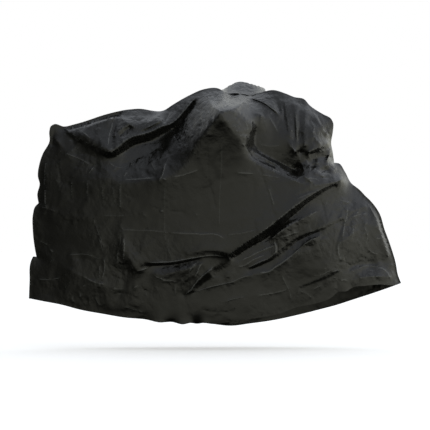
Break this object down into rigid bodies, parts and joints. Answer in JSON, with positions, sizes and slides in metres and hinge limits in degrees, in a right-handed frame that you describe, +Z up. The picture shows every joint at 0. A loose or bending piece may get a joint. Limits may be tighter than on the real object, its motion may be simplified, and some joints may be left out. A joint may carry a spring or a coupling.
{
  "type": "bicycle cover",
  "caption": "Fitted cover of thin black film, hanging in folds, open along its lower edge, to keep rain and dust off what it covers.",
  "frame": {"origin": "under the top of the cover, halfway along it and in the plane of its seam, where what it covers holds it up; 1.18 m above the ground that the cover hangs over", "axes": "+X along the cover towards its front, +Y across it towards the far panel, +Z up"},
  "size_m": [1.7301, 0.5894, 1.128],
  "materials": {
    "black_film": "half-gloss black polyethylene film, creased from its packing folds and finely crinkled"
  },
  "bodies": {
    "root": {"near_panel": "black_film", "far_panel": "black_film"}
  },
  "joints": []
}
